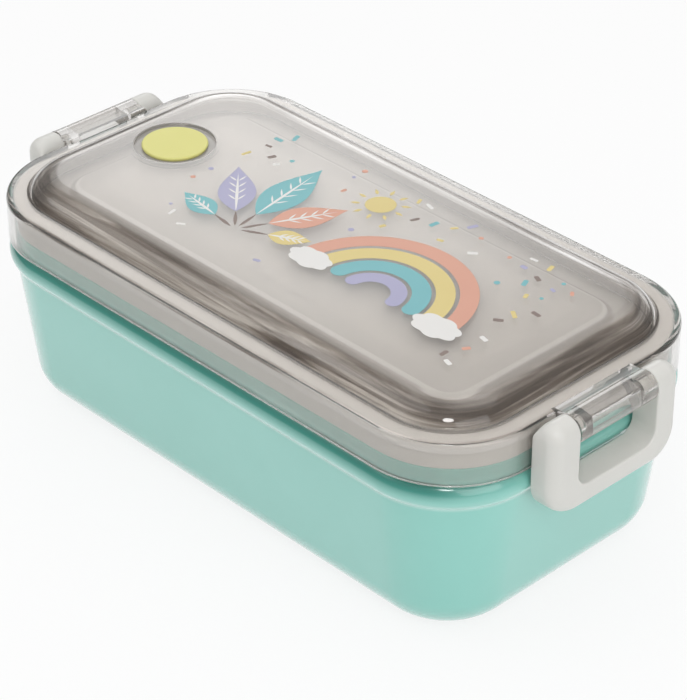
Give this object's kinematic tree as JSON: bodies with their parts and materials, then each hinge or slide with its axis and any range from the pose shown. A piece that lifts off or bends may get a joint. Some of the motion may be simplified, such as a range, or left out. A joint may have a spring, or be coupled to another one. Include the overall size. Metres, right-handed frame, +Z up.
{
  "type": "bento lunch box",
  "caption": "Rounded oblong lunch box: tapered tub, divided inner tray with cover, clear domed lid with seal and steam vent, and a swing clip at each end.",
  "frame": {"origin": "middle of the tub's foot, on the surface it stands on", "axes": "+X along the length, towards the end away from the steam vent; +Y across the width; +Z up"},
  "size_m": [0.219, 0.1072, 0.0744],
  "materials": {
    "tub": "mint green polypropylene, satin gloss",
    "tray": "warm white polypropylene, satin",
    "lid": "clear smoke-grey plastic, glossy",
    "seal": "white silicone",
    "plug": "pale yellow silicone",
    "clip": "off-white polypropylene, satin"
  },
  "bodies": {
    "tub": {"tub": "tub"},
    "inner_tray": {"inner_tray": "tray"},
    "tray_cover": {"tray_cover": "tray"},
    "lid": {"lid": "lid", "lid_seal": "seal"},
    "vent_plug": {"vent_plug": "plug"},
    "clip_right": {"clip_right": "clip"},
    "clip_left": {"clip_left": "clip"}
  },
  "joints": [
    {"name": "tray_lift", "type": "slide", "parent": "tub", "child": "inner_tray", "axis": [0, 0, 1], "range_m": [0, 0.066]},
    {"name": "cover_lift", "type": "slide", "parent": "inner_tray", "child": "tray_cover", "axis": [0, 0, 1], "range_m": [0, 0.057]},
    {"name": "lid_lift", "type": "slide", "parent": "tray_cover", "child": "lid", "axis": [0, 0, 1], "range_m": [0, 0.06]},
    {"name": "vent_lift", "type": "slide", "parent": "lid", "child": "vent_plug", "axis": [0, 0, 1], "range_m": [0, 0.012]},
    {"name": "clip_right_swing", "type": "hinge", "parent": "lid", "child": "clip_right", "pos_m": [0.1049, 0, 0.0659], "axis": [0, -1, 0], "range_deg": [0, 110]},
    {"name": "clip_left_swing", "type": "hinge", "parent": "lid", "child": "clip_left", "pos_m": [-0.1049, 0, 0.0659], "axis": [0, 1, 0], "range_deg": [0, 110]}
  ]
}
